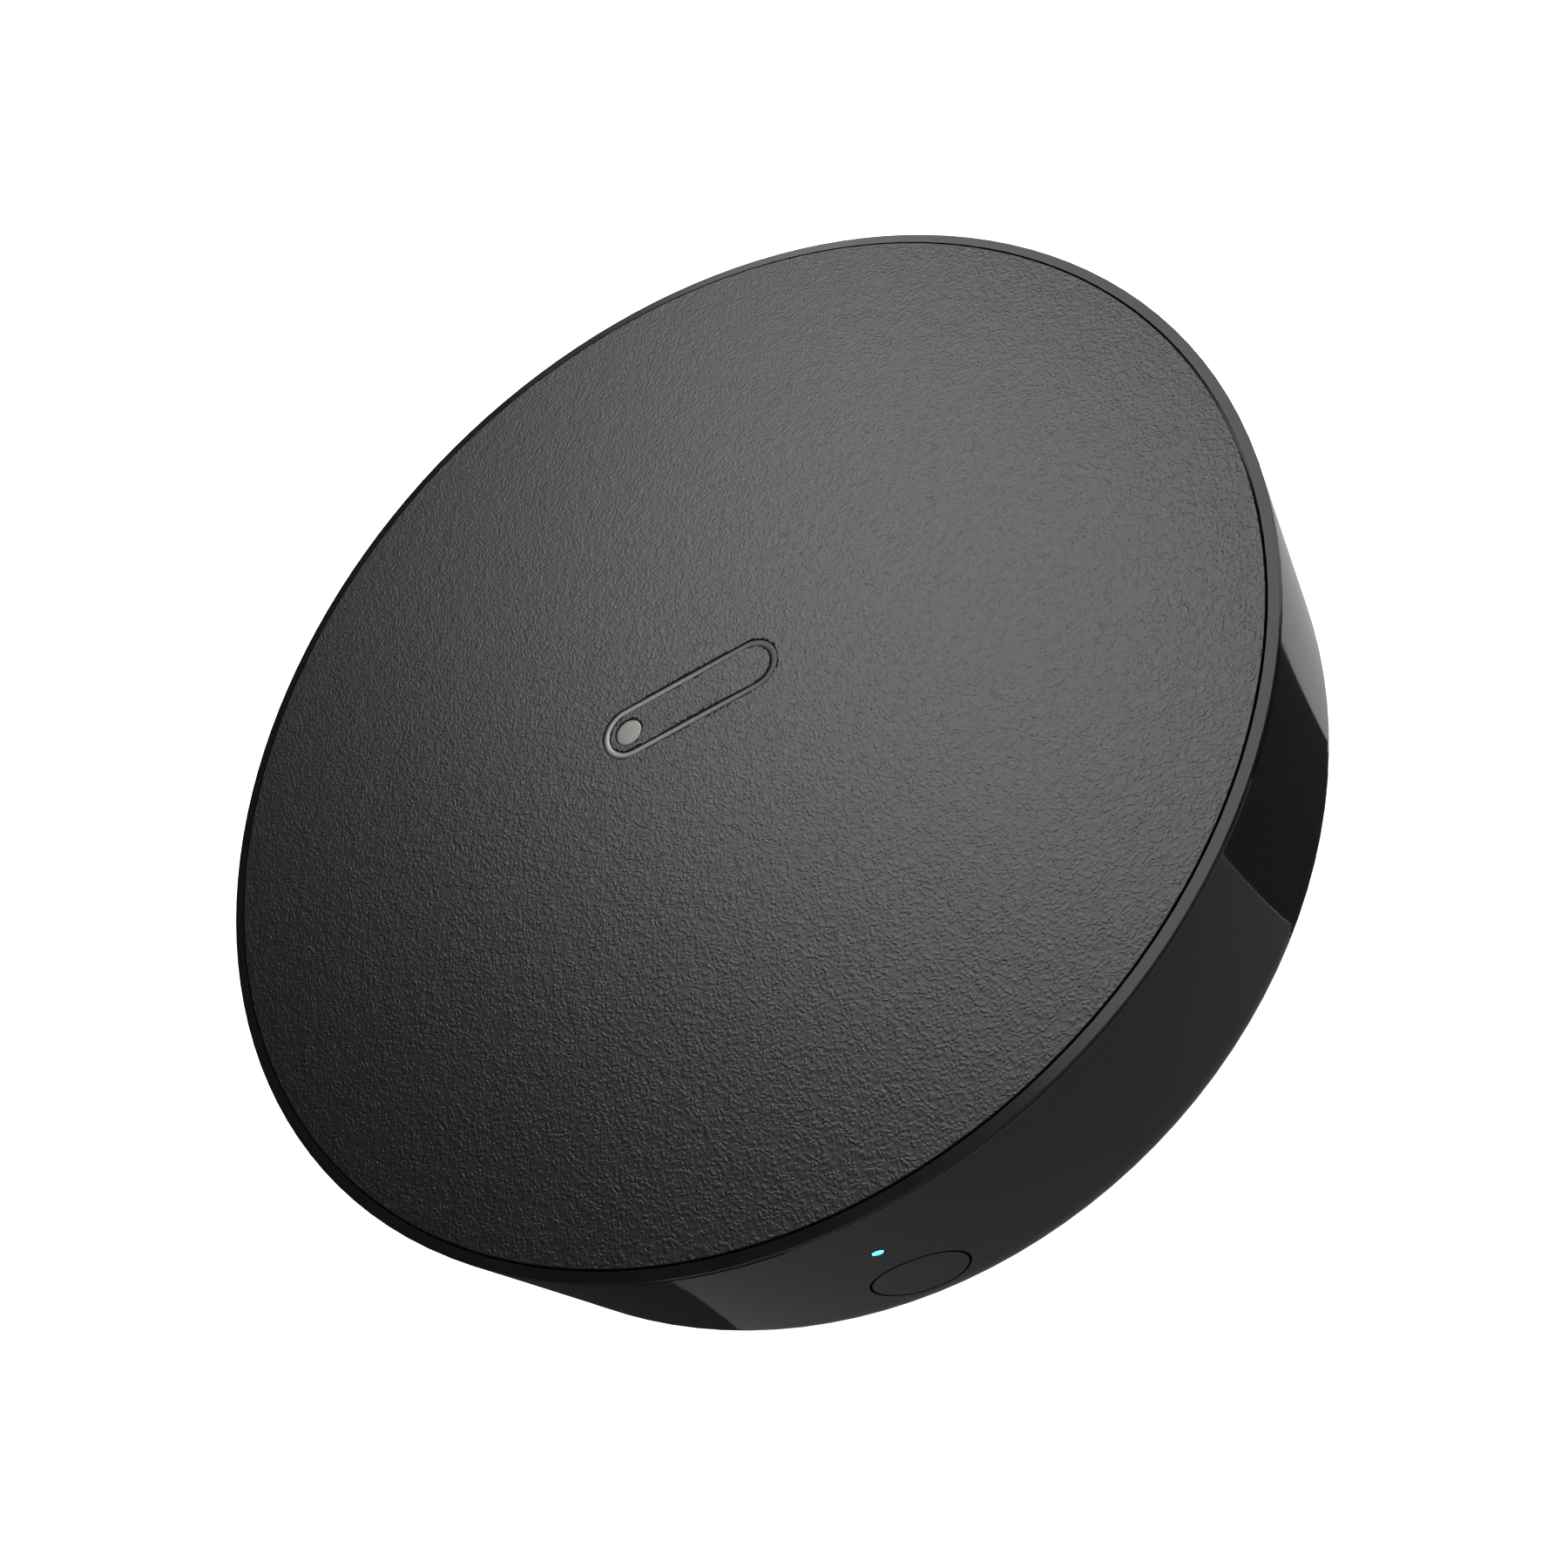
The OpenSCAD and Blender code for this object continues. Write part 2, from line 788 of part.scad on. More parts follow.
module speaker_magnet() {
    gap_z = magnet_top - 0.8;
    coil_clear = 0.25;
    color([0.6, 0.6, 0.62]) speaker_part() {
        difference() {
            disc(magnet_r, magnet_z, magnet_top - magnet_z);
            disc(coil_ro + coil_clear, magnet_z - over, gap_z - magnet_z + over);
        }
        disc(coil_ri - coil_clear, magnet_z, gap_z - magnet_z);
    }
}

module speaker_cone() {
    paper_t = 0.3;
    coil_h = 2.3;
    color([0.08, 0.08, 0.08]) speaker_part() {
        disc(cone_r, cone_z, paper_t);
        ring(coil_ri, coil_ro, cone_z + paper_t, coil_h);
    }
}

module speaker_surround() {
    color([0.05, 0.05, 0.05]) speaker_part() ring(cone_r + 0.03, speaker_r - frame_t, cone_z - 0.1, 0.4);
}

module speaker_socket() {
    x = speaker_socket_at[0];
    y = speaker_socket_at[1];
    size = [5, 6, 2.6];
    lip = [speaker_socket_lip, 4.8, 1.6];
    color([0.9, 0.9, 0.85]) {
        block([x, y, board_low - size[2]], size);
        block([x - lip[0], y + (size[1] - lip[1]) / 2, board_low - size[2] + 0.4], lip);
    }
}

module speaker_leads() {
    color([0.7, 0.1, 0.1]) for (y = lead_ys)
        wire([[lead_from[0], y, lead_from[1]], [lead_to[0], y, lead_to[1]]], lead_r);
}

// Screws

module board_screws() {
    head_r = 1.9;
    head_t = 1.3;
    color([0.7, 0.7, 0.72]) at_board_screws() {
        disc(head_r, board_z, head_t);
        disc(board_screw_r, floor_z + 1, board_z - floor_z - 1);
    }
}

module housing_screws() {
    head_r = 2.1;
    head_t = 1.7;
    color([0.7, 0.7, 0.72]) at_housing_screws() {
        disc(head_r, pocket_top - head_t, head_t);
        disc(screw_r, pocket_top, screw_end - 1 - pocket_top);
    }
}

lid_panel();
emblem();
lid_tape();
top_cover();
side_band();
bottom_housing();
for (i = [0:3]) foot_pad(i);
button_cap();
switch_body();
switch_plunger();
status_led();
light_pipe();
socket_bezel();
network_shell();
network_insert();
network_contacts();
usb_shell();
usb_tongue();
usb_contacts();
power_shell();
power_tongue();
main_board();
processor();
memory_chip();
thermal_pad();
heat_spreader();
radio_board();
radio_shield();
network_transformer();
for (i = [0:2]) capacitor(i);
crystal();
for (i = [0:1]) inductor(i);
for (i = [0:5]) ir_led(i);
ir_receiver();
for (i = [0:1]) antenna(i);
for (i = [0:1]) coax(i);
speaker_mesh();
speaker_gasket();
speaker_basket();
speaker_magnet();
speaker_cone();
speaker_surround();
speaker_socket();
speaker_leads();
board_screws();
housing_screws();
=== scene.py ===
# Looks for a round smart home hub: a puck with a leather-grained lid, a satin rim, a glossy wall with
# a round button and a status light, and a matte base with soft foot pads. Metres, in the frame of the
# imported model.
import math

import bpy
import numpy as np
from mathutils import Euler, Matrix, Vector


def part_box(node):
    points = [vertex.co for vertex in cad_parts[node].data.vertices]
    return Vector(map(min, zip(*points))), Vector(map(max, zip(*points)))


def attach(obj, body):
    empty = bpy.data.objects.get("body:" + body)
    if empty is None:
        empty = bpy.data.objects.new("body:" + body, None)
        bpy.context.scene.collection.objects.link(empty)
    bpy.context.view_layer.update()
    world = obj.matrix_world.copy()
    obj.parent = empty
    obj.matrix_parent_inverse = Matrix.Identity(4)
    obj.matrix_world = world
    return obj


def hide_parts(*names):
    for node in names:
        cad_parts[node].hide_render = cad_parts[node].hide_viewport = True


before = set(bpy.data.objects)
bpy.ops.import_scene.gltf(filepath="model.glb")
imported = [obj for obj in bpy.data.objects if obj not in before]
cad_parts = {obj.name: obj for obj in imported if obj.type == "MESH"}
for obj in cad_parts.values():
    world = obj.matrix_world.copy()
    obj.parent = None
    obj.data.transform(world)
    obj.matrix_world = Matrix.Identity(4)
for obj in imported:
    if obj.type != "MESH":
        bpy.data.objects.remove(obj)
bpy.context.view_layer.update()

MM = 0.001

# ---------------------------------------------------------------- camera
CAMERA_TURN = math.radians(22.8)
CAMERA_HEIGHT = math.radians(49.36)
CAMERA_ROLL = math.radians(-45.435)
CAMERA_AT = Vector((0.04123, -0.09794, 0.13722))
LENS = 40.07


def add_camera():
    """The camera is over the near right side, looks down at the lid and is rolled by nearly 45 degrees."""
    data = bpy.data.cameras.new("camera")
    data.sensor_width = 36.0
    data.lens = LENS
    data.clip_start = 0.001
    data.clip_end = 20.0
    obj = bpy.data.objects.new("camera", data)
    bpy.context.scene.collection.objects.link(obj)
    turn = Euler((0, 0, CAMERA_TURN)).to_matrix()
    tilt = Euler((math.pi / 2 - CAMERA_HEIGHT, 0, 0)).to_matrix()
    roll = Euler((0, 0, CAMERA_ROLL)).to_matrix()
    obj.matrix_world = (turn @ tilt @ roll).to_4x4()
    obj.location = CAMERA_AT
    bpy.context.scene.camera = obj


# ---------------------------------------------------------------- studio
SOFTBOX_TURN = math.radians(16.0)
SOFTBOX_HEIGHT = math.radians(51.5)
SOFTBOX_AWAY = 2.5
SOFTBOX_SIZE = (1.19, 1.34)
SOFTBOX_SPIN = math.radians(37.5)
SOFTBOX_GLOW = 4.95
WORLD_GLOW = 1.0
WORLD_MIRRORED = 0.005
HORIZON_MIRRORED = 0.3
HORIZON_TOP = 0.2
ZENITH_MIRRORED = 0.3
ZENITH_FROM = 0.86
FLOOR_GLOW = 1.0
FLOOR_SHADE = 0.85
FLOOR_HALF = 3.0
FLOOR_DROP = 0.05 * MM
BLACK = 0.0
CARD_INNER = 41.8 * MM
CARD_OUTER = 140 * MM
CARD_STEPS = 24
CARD_LIFT = 0.1 * MM
WALL_AWAY = 2.0
WALL_WIDTH = 5.0
WALL_FOOT = 0.3
WALL_HEIGHT = 3.0
WALL_GLOW = 0.6


def add_softbox():
    """One large soft box beyond the object and right of the camera's line. The lid mirrors it."""
    data = bpy.data.lights.new("softbox", "AREA")
    data.shape = "RECTANGLE"
    data.size, data.size_y = SOFTBOX_SIZE
    data.energy = SOFTBOX_GLOW * math.pi * data.size * data.size_y
    obj = bpy.data.objects.new("softbox", data)
    bpy.context.scene.collection.objects.link(obj)
    level = SOFTBOX_AWAY * math.cos(SOFTBOX_HEIGHT)
    above = SOFTBOX_AWAY * math.sin(SOFTBOX_HEIGHT)
    place = Vector((level * math.sin(SOFTBOX_TURN), level * math.cos(SOFTBOX_TURN), above))
    back = place.normalized()
    side = Vector((0, 0, 1)).cross(back).normalized()
    rise = back.cross(side)
    wide = side * math.cos(SOFTBOX_SPIN) + rise * math.sin(SOFTBOX_SPIN)
    high = rise * math.cos(SOFTBOX_SPIN) - side * math.sin(SOFTBOX_SPIN)
    axes = Matrix((wide, high, back)).transposed()
    turn = Euler((0, 0, CAMERA_TURN)).to_matrix()
    obj.matrix_world = (turn @ axes).to_4x4()
    obj.location = turn @ place


def add_world():
    """White all round, but nearly dark to mirror images, so that black gloss stays black. They see a
    lighter horizon and zenith, which light the lid when it is seen from low down or from above."""
    world = bpy.data.worlds.new("studio")
    bpy.context.scene.world = world
    world.use_nodes = True
    tree = world.node_tree
    sky = tree.nodes["Background"]
    sky.inputs["Color"].default_value = (1, 1, 1, 1)
    place = add(tree, "ShaderNodeTexCoord").outputs["Generated"]
    height = add(tree, "ShaderNodeSeparateXYZ", {"Vector": place}).outputs["Z"]
    around = spread(tree, height, HORIZON_MIRRORED, WORLD_MIRRORED, 0.0, HORIZON_TOP)
    overhead = spread(tree, height, 0.0, ZENITH_MIRRORED, ZENITH_FROM, 1.0)
    both = add(tree, "ShaderNodeMath", {0: around, 1: overhead}, operation="ADD").outputs["Value"]
    mirrored = add(tree, "ShaderNodeLightPath").outputs["Is Glossy Ray"]
    strength = spread(tree, mirrored, WORLD_GLOW, both, 0.0, 1.0)
    tree.links.new(strength, sky.inputs["Strength"])


def stage_sheet(name, points, faces, colour, glow):
    """A matte sheet of the studio, not part of the object. Its back is clear, so that the base shows."""
    mesh = bpy.data.meshes.new(name)
    mesh.from_pydata(points, [], faces)
    obj = bpy.data.objects.new(name, mesh)
    bpy.context.scene.collection.objects.link(obj)
    material, tree, shader = start(name)
    shader.inputs["Base Color"].default_value = (colour, colour, colour, 1)
    shader.inputs["Roughness"].default_value = 0.9
    shader.inputs["Specular IOR Level"].default_value = 0.0
    shader.inputs["Emission Color"].default_value = (1, 1, 1, 1)
    shader.inputs["Emission Strength"].default_value = glow
    clear = add(tree, "ShaderNodeBsdfTransparent").outputs["BSDF"]
    behind = add(tree, "ShaderNodeNewGeometry").outputs["Backfacing"]
    sheet = add(tree, "ShaderNodeMixShader", {0: behind, 1: shader.outputs["BSDF"], 2: clear})
    tree.links.new(sheet.outputs["Shader"], tree.nodes["Material Output"].inputs["Surface"])
    mesh.materials.append(material)
    return obj


def only_mirrored(obj):
    """Shown by mirror images alone, so that the floor stays plain."""
    obj.visible_camera = False
    obj.visible_diffuse = False
    obj.visible_shadow = False
    obj.visible_transmission = False


def add_card(name, low, high, glow, lift):
    """A card on the floor that only mirror images show, so that the glossy wall has something to reflect.
    Its two straight sides start at low and high, each given as (place, direction) in degrees."""
    near = []
    far = []
    for k in range(CARD_STEPS + 1):
        angle = math.radians(low[0] + (high[0] - low[0]) * k / CARD_STEPS)
        away = math.radians(low[1] + (high[1] - low[1]) * k / CARD_STEPS)
        start_at = Vector((math.cos(angle), math.sin(angle), 0)) * CARD_INNER
        near.append(start_at + Vector((0, 0, lift)))
        far.append(near[-1] + Vector((math.cos(away), math.sin(away), 0)) * CARD_OUTER)
    count = CARD_STEPS + 1
    faces = [(k, count + k, count + k + 1, k + 1) for k in range(CARD_STEPS)]
    only_mirrored(stage_sheet(name, near + far, faces, BLACK, glow))


def add_front_wall():
    """A dim wall behind the camera, which puts a thin light line on rounded edges."""
    across = Vector((math.cos(CAMERA_TURN), math.sin(CAMERA_TURN), 0))
    away = Vector((math.sin(CAMERA_TURN), -math.cos(CAMERA_TURN), 0))
    foot = away * WALL_AWAY + Vector((0, 0, WALL_FOOT))
    rise = Vector((0, 0, WALL_HEIGHT))
    half = across * WALL_WIDTH / 2
    points = [foot + half, foot - half, foot - half + rise, foot + half + rise]
    only_mirrored(stage_sheet("front_wall", points, [(0, 1, 2, 3)], BLACK, WALL_GLOW))


def add_floor():
    """A plain pale floor. It lies a hair under the feet, so that their soles show from below."""
    corners = ((-1, -1), (1, -1), (1, 1), (-1, 1))
    points = [(x * FLOOR_HALF, y * FLOOR_HALF, -FLOOR_DROP) for x, y in corners]
    stage_sheet("floor", points, [(0, 1, 2, 3)], FLOOR_SHADE, FLOOR_GLOW)


def add_studio():
    """The surround, the soft box, the floor, the front wall and the four cards round the object."""
    add_world()
    add_softbox()
    add_floor()
    add_front_wall()
    add_card("card_near", (-110.5, -149), (-43.6, -23.5), 0.125, CARD_LIFT)
    add_card("card_right", (-43.6, -23.5), (-43.6, 36.4), 0.025, 2 * CARD_LIFT)
    add_card("card_far", (-43.6, 36.4), (120, 120), 0.45, CARD_LIFT)
    add_card("card_left", (120, 120), (249.5, 211), 0.02, CARD_LIFT)


# ---------------------------------------------------------------- material helpers
# A mix node's two colour inputs and its colour output, which share their names with its other sockets.
MIX_FIRST = 6
MIX_SECOND = 7
MIX_RESULT = 2


def start(name):
    """A new material, its tree and its one Principled shader."""
    material = bpy.data.materials.new(name)
    material.use_nodes = True
    tree = material.node_tree
    tree.nodes.clear()
    output = tree.nodes.new("ShaderNodeOutputMaterial")
    shader = tree.nodes.new("ShaderNodeBsdfPrincipled")
    tree.links.new(shader.outputs["BSDF"], output.inputs["Surface"])
    return material, tree, shader


def add(tree, kind, inputs=None, **settings):
    """A node with these settings; each input is a value or the output that feeds it."""
    node = tree.nodes.new(kind)
    for key, value in settings.items():
        setattr(node, key, value)
    for key, value in (inputs or {}).items():
        if isinstance(value, bpy.types.NodeSocket):
            tree.links.new(value, node.inputs[key])
        else:
            node.inputs[key].default_value = value
    return node


def millimetres(tree, stretch=(1, 1, 1)):
    """The place on the object in millimetres, squeezed along an axis where stretch is over 1."""
    place = add(tree, "ShaderNodeTexCoord").outputs["Object"]
    scale = tuple(1000 / s for s in stretch)
    mapping = add(tree, "ShaderNodeMapping", {"Vector": place, "Scale": scale})
    return mapping.outputs["Vector"]


def cloud(tree, place, size, detail=2.0, roughness=0.5):
    """Noise from 0 to 1 with patches of about that size in millimetres."""
    inputs = {"Vector": place, "Scale": 1 / size, "Detail": detail, "Roughness": roughness}
    return add(tree, "ShaderNodeTexNoise", inputs).outputs["Fac"]


def spread(tree, source, low, high, start_at=0.3, end_at=0.7):
    """Source from start_at to end_at, mapped to low to high."""
    inputs = {"Value": source, "From Min": start_at, "From Max": end_at, "To Min": low, "To Max": high}
    return add(tree, "ShaderNodeMapRange", inputs).outputs["Result"]


def tinted(tree, source, dark, light):
    """A colour between two, by a source from 0 to 1."""
    node = add(tree, "ShaderNodeMix", data_type="RGBA")
    tree.links.new(source, node.inputs["Factor"])
    node.inputs[MIX_FIRST].default_value = (*dark, 1)
    node.inputs[MIX_SECOND].default_value = (*light, 1)
    return node.outputs[MIX_RESULT]


def raised(tree, height, depth, under=None):
    """A bump of that depth in millimetres, over another bump if one is given."""
    inputs = {"Height": height, "Distance": depth * MM, "Strength": 1.0}
    if under is not None:
        inputs["Normal"] = under
    return add(tree, "ShaderNodeBump", inputs).outputs["Normal"]


def dress(tree, shader, colour=None, roughness=None, normal=None):
    """Feeds the shader's colour, roughness and normal."""
    for socket, source in (("Base Color", colour), ("Roughness", roughness), ("Normal", normal)):
        if source is not None:
            tree.links.new(source, shader.inputs[socket])


# ---------------------------------------------------------------- materials
PEBBLE_SIZE = 0.37
PEBBLE_DEPTH = 0.0125
WRINKLE_SIZE = 0.22
DRIFT_SCALE = 1.1
WRINKLE_DEPTH = 0.014


def plastic(name, colour, rough, grain=0.25, depth=0.004, mottle=0.15):
    """Moulded plastic: an eroded grain, faint mottling and a roughness that wanders a little."""
    material, tree, shader = start(name)
    place = millimetres(tree)
    patches = cloud(tree, place, 6.0, 3.0)
    fine = cloud(tree, place, grain, 4.0, 0.6)
    dark = tuple(c * (1 - mottle) for c in colour)
    light = tuple(c * (1 + mottle) for c in colour)
    shade = tinted(tree, patches, dark, light)
    rough_by = spread(tree, patches, rough * 0.92, rough * 1.08)
    dress(tree, shader, shade, rough_by, raised(tree, fine, depth))
    return material


def metal(name, colour, rough, stretch=(12, 1, 1), depth=0.002):
    """Bare metal with rolled or brushed streaks along one axis."""
    material, tree, shader = start(name)
    streaks = cloud(tree, millimetres(tree, stretch), 0.12, 3.0, 0.6)
    stains = cloud(tree, millimetres(tree), 3.0, 2.0)
    shade = tinted(tree, stains, tuple(c * 0.85 for c in colour), colour)
    shader.inputs["Metallic"].default_value = 1.0
    rough_by = spread(tree, streaks, rough * 0.8, rough * 1.2)
    dress(tree, shader, shade, rough_by, raised(tree, streaks, depth))
    return material


def gloss(name):
    """Piano black: a deep colour and a hard gloss, with a trace of orange peel."""
    material, tree, shader = start(name)
    place = millimetres(tree)
    peel = cloud(tree, place, 2.5, 1.0)
    haze = cloud(tree, place, 9.0, 3.0)
    shade = tinted(tree, haze, (0.0028, 0.0028, 0.003), (0.0038, 0.0038, 0.004))
    dress(tree, shader, shade, spread(tree, haze, 0.045, 0.075), raised(tree, peel, 0.0004))
    shader.inputs["IOR"].default_value = 1.5
    return material


def satin(name):
    """The rim's fine-textured black lacquer, which is smoother than the leather and reflects less."""
    material, tree, shader = start(name)
    place = millimetres(tree)
    fine = cloud(tree, place, 0.15, 2.0)
    haze = cloud(tree, place, 5.0, 3.0)
    shade = tinted(tree, haze, (0.0035, 0.0035, 0.0036), (0.0050, 0.0050, 0.0051))
    dress(tree, shader, shade, spread(tree, haze, 0.155, 0.185), raised(tree, fine, 0.0006))
    shader.inputs["Specular IOR Level"].default_value = 0.222
    return material


def mark(name):
    """Satin metal with a painted reflection: its colour is lighter at the left end of the mark and darker
    towards the right end.
    """
    material, tree, shader = start(name)
    low, high = (Vector(c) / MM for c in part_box("emblem"))
    place = millimetres(tree)
    along = add(tree, "ShaderNodeSeparateXYZ", {"Vector": place}).outputs["X"]
    # Painted reflection: a colour ramp along the mark, light at its left end and dark at its right, stands
    # in for the mirrored light.
    painted_reflection_fade = spread(tree, along, 0.0, 1.0, low.x, high.x)
    brushed = cloud(tree, place, 0.12, 3.0)
    shade = tinted(tree, painted_reflection_fade, (0.145, 0.140, 0.135), (0.031, 0.0305, 0.030))
    shader.inputs["Metallic"].default_value = 1.0
    dress(tree, shader, shade, spread(tree, brushed, 0.28, 0.36), raised(tree, brushed, 0.002))
    return material


def leather(name):
    """Pressed leather: low soft pebbles and fine wrinkles, over the larger relief that is in the mesh."""
    material, tree, shader = start(name)
    place = millimetres(tree)
    inputs = {"Vector": place, "Scale": DRIFT_SCALE, "Detail": 2.0}
    drift = add(tree, "ShaderNodeTexNoise", inputs).outputs["Color"]
    bent = add(tree, "ShaderNodeVectorMath", {0: place, 1: drift}, operation="ADD").outputs["Vector"]
    inputs = {"Vector": bent, "Scale": 1 / PEBBLE_SIZE, "Smoothness": 0.4, "Randomness": 0.8}
    cells = add(tree, "ShaderNodeTexVoronoi", inputs, feature="SMOOTH_F1").outputs["Distance"]
    inputs = {"Value": cells, "From Min": 0.1, "From Max": 0.65, "To Min": 1.0, "To Max": 0.0}
    pebbles = add(tree, "ShaderNodeMapRange", inputs, interpolation_type="SMOOTHSTEP").outputs["Result"]
    wrinkles = cloud(tree, bent, WRINKLE_SIZE, 1.0, 0.4)
    coarse = raised(tree, pebbles, PEBBLE_DEPTH)
    normal = raised(tree, wrinkles, WRINKLE_DEPTH, coarse)
    patches = cloud(tree, place, 11.0, 3.0)
    shade = tinted(tree, patches, (0.0009, 0.0009, 0.00092), (0.0015, 0.0015, 0.00153))
    dress(tree, shader, shade, spread(tree, pebbles, 0.337, 0.307, 0.0, 1.0), normal)
    return material


def glow(name):
    """A clear pipe that carries cyan light: its nose glows."""
    material, tree, shader = start(name)
    place = millimetres(tree)
    veil = cloud(tree, place, 0.4, 2.0)
    shade = tinted(tree, veil, (0.10, 0.80, 0.92), (0.16, 0.90, 1.0))
    dress(tree, shader, shade, spread(tree, veil, 0.15, 0.3))
    tree.links.new(shade, shader.inputs["Emission Color"])
    shader.inputs["Emission Strength"].default_value = 0.9
    return material


def make_looks():
    """One material for each slot of the record."""
    return {
        "lid_grain": leather("lid_grain"),
        "emblem_metal": mark("emblem_metal"),
        "tape": plastic("tape", (0.75, 0.73, 0.68), 0.6, 0.4, 0.01),
        "rim_satin": satin("rim_satin"),
        "band_gloss": gloss("band_gloss"),
        "base_matte": plastic("base_matte", (0.022, 0.022, 0.023), 0.55, 0.18, 0.006),
        "foot_rubber": plastic("foot_rubber", (0.035, 0.035, 0.036), 0.8, 0.3, 0.012),
        "button_gloss": gloss("button_gloss"),
        "dark_insulator": plastic("dark_insulator", (0.02, 0.02, 0.021), 0.45, 0.2, 0.004),
        "pale_insulator": plastic("pale_insulator", (0.72, 0.70, 0.64), 0.45, 0.2, 0.004),
        "led_package": plastic("led_package", (0.82, 0.82, 0.78), 0.4, 0.1, 0.002),
        "light_pipe": glow("light_pipe"),
        "steel_sheet": metal("steel_sheet", (0.62, 0.61, 0.59), 0.28),
        "contact_gold": metal("contact_gold", (0.83, 0.62, 0.27), 0.22, (1, 8, 1)),
        "board_green": plastic("board_green", (0.015, 0.11, 0.045), 0.35, 0.5, 0.006),
        "board_blue": plastic("board_blue", (0.012, 0.04, 0.16), 0.35, 0.5, 0.006),
        "chip_black": plastic("chip_black", (0.025, 0.025, 0.026), 0.5, 0.12, 0.006),
        "thermal_pad": plastic("thermal_pad", (0.22, 0.33, 0.44), 0.75, 0.3, 0.01),
        "aluminium_plate": metal("aluminium_plate", (0.78, 0.78, 0.79), 0.35),
        "ir_dark": plastic("ir_dark", (0.012, 0.008, 0.010), 0.12, 0.5, 0.001),
        "ir_lens": plastic("ir_lens", (0.30, 0.30, 0.42), 0.12, 0.5, 0.001),
        "mesh_cloth": plastic("mesh_cloth", (0.018, 0.018, 0.018), 0.85, 0.1, 0.02),
        "foam": plastic("foam", (0.05, 0.05, 0.052), 0.9, 0.15, 0.03),
        "magnet_plated": metal("magnet_plated", (0.66, 0.66, 0.64), 0.2),
        "cone_paper": plastic("cone_paper", (0.035, 0.034, 0.033), 0.75, 0.3, 0.02),
        "surround_rubber": plastic("surround_rubber", (0.02, 0.02, 0.02), 0.6, 0.3, 0.006),
        "lead_red": plastic("lead_red", (0.42, 0.02, 0.015), 0.4, 0.3, 0.003),
        "screw_steel": metal("screw_steel", (0.35, 0.35, 0.36), 0.3),
        "capacitor_can": metal("capacitor_can", (0.72, 0.72, 0.73), 0.25),
        "ferrite": plastic("ferrite", (0.08, 0.08, 0.085), 0.6, 0.15, 0.01),
        "antenna_copper": metal("antenna_copper", (0.80, 0.45, 0.28), 0.35),
        "coax_jacket": plastic("coax_jacket", (0.03, 0.03, 0.03), 0.45, 0.3, 0.003),
    }


# ---------------------------------------------------------------- mesh helpers
def piece(name, points, faces, body, slot, *replaced):
    """A new piece in its place, with its material, slot, replaced CAD nodes and body."""
    mesh = bpy.data.meshes.new(name)
    mesh.from_pydata(points, [], faces)
    mesh.update()
    obj = bpy.data.objects.new(name, mesh)
    bpy.context.scene.collection.objects.link(obj)
    mesh.materials.append(looks[slot])
    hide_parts(*replaced)
    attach(obj, body)
    return obj


TILE = 256
FAR_OFF = 9.0


def waves(points, cell, seed):
    """Smooth noise from -1 to 1 at points in millimetres, with lumps of about that cell."""
    table = np.random.default_rng(seed).uniform(-1, 1, (TILE, TILE))
    scaled = points / cell
    base = np.floor(scaled).astype(int)
    part = scaled - base
    part = part * part * (3 - 2 * part)
    x0, y0 = base[:, 0] % TILE, base[:, 1] % TILE
    x1, y1 = (x0 + 1) % TILE, (y0 + 1) % TILE
    low = table[x0, y0] * (1 - part[:, 0]) + table[x1, y0] * part[:, 0]
    high = table[x0, y1] * (1 - part[:, 0]) + table[x1, y1] * part[:, 0]
    return low * (1 - part[:, 1]) + high * part[:, 1]


def creases(points, cell, seed):
    """Near 0 in the crease between two pebbles of the grain, and growing towards their middles."""
    jitter = np.random.default_rng(seed).uniform(0, 1, (TILE, TILE, 2))
    scaled = points / cell
    base = np.floor(scaled).astype(int)
    best = np.full(len(points), FAR_OFF)
    second = np.full(len(points), FAR_OFF)
    for step_x in (-1, 0, 1):
        for step_y in (-1, 0, 1):
            at = base + (step_x, step_y)
            centre = at + jitter[at[:, 0] % TILE, at[:, 1] % TILE]
            gap = np.hypot(*(scaled - centre).T)
            second = np.minimum(second, np.maximum(best, gap))
            best = np.minimum(best, gap)
    return second - best


# ---------------------------------------------------------------- leather lid
LID_CELLS = 296
LID_ROUND = 0.05
LID_SUPPORT = 0.04
ROUND_STEPS = 4
LID_WAVER = 0.015
GRAIN_DEPTH = 0.022
BEND_CELL = 2.6
BEND = 0.7
CREASE_CELL = 0.95
CREASE_WIDTH = 0.6
LUMP_CELL = 0.62
SWELL_CELL = 7.0
WAVER_CELL = 1.3
CREASE_SHARE = 0.15
LUMP_SHARE = 0.55
SWELL_SHARE = 0.3
LID_SHARP = math.radians(50)


def disc_grid(cells, radius):
    """Points of a square grid bent into a disc, with cells of nearly equal size."""
    line = np.linspace(-1, 1, cells + 1)
    u, v = (a.ravel() for a in np.meshgrid(line, line, indexing="ij"))
    wide = np.abs(u) > np.abs(v)
    reach = np.where(wide, u, v)
    safe = np.where(reach == 0, 1, reach)
    angle = np.where(wide, math.pi / 4 * v / safe, math.pi / 2 - math.pi / 4 * u / safe)
    return np.stack([reach * np.cos(angle), reach * np.sin(angle)], 1) * radius


def border(cells):
    """The grid's outer points in order, once round."""
    side = cells + 1
    first = [i * side for i in range(cells)]
    second = [cells * side + j for j in range(cells)]
    third = [(cells - i) * side + cells for i in range(cells)]
    fourth = [cells - j for j in range(cells)]
    return first + second + third + fourth


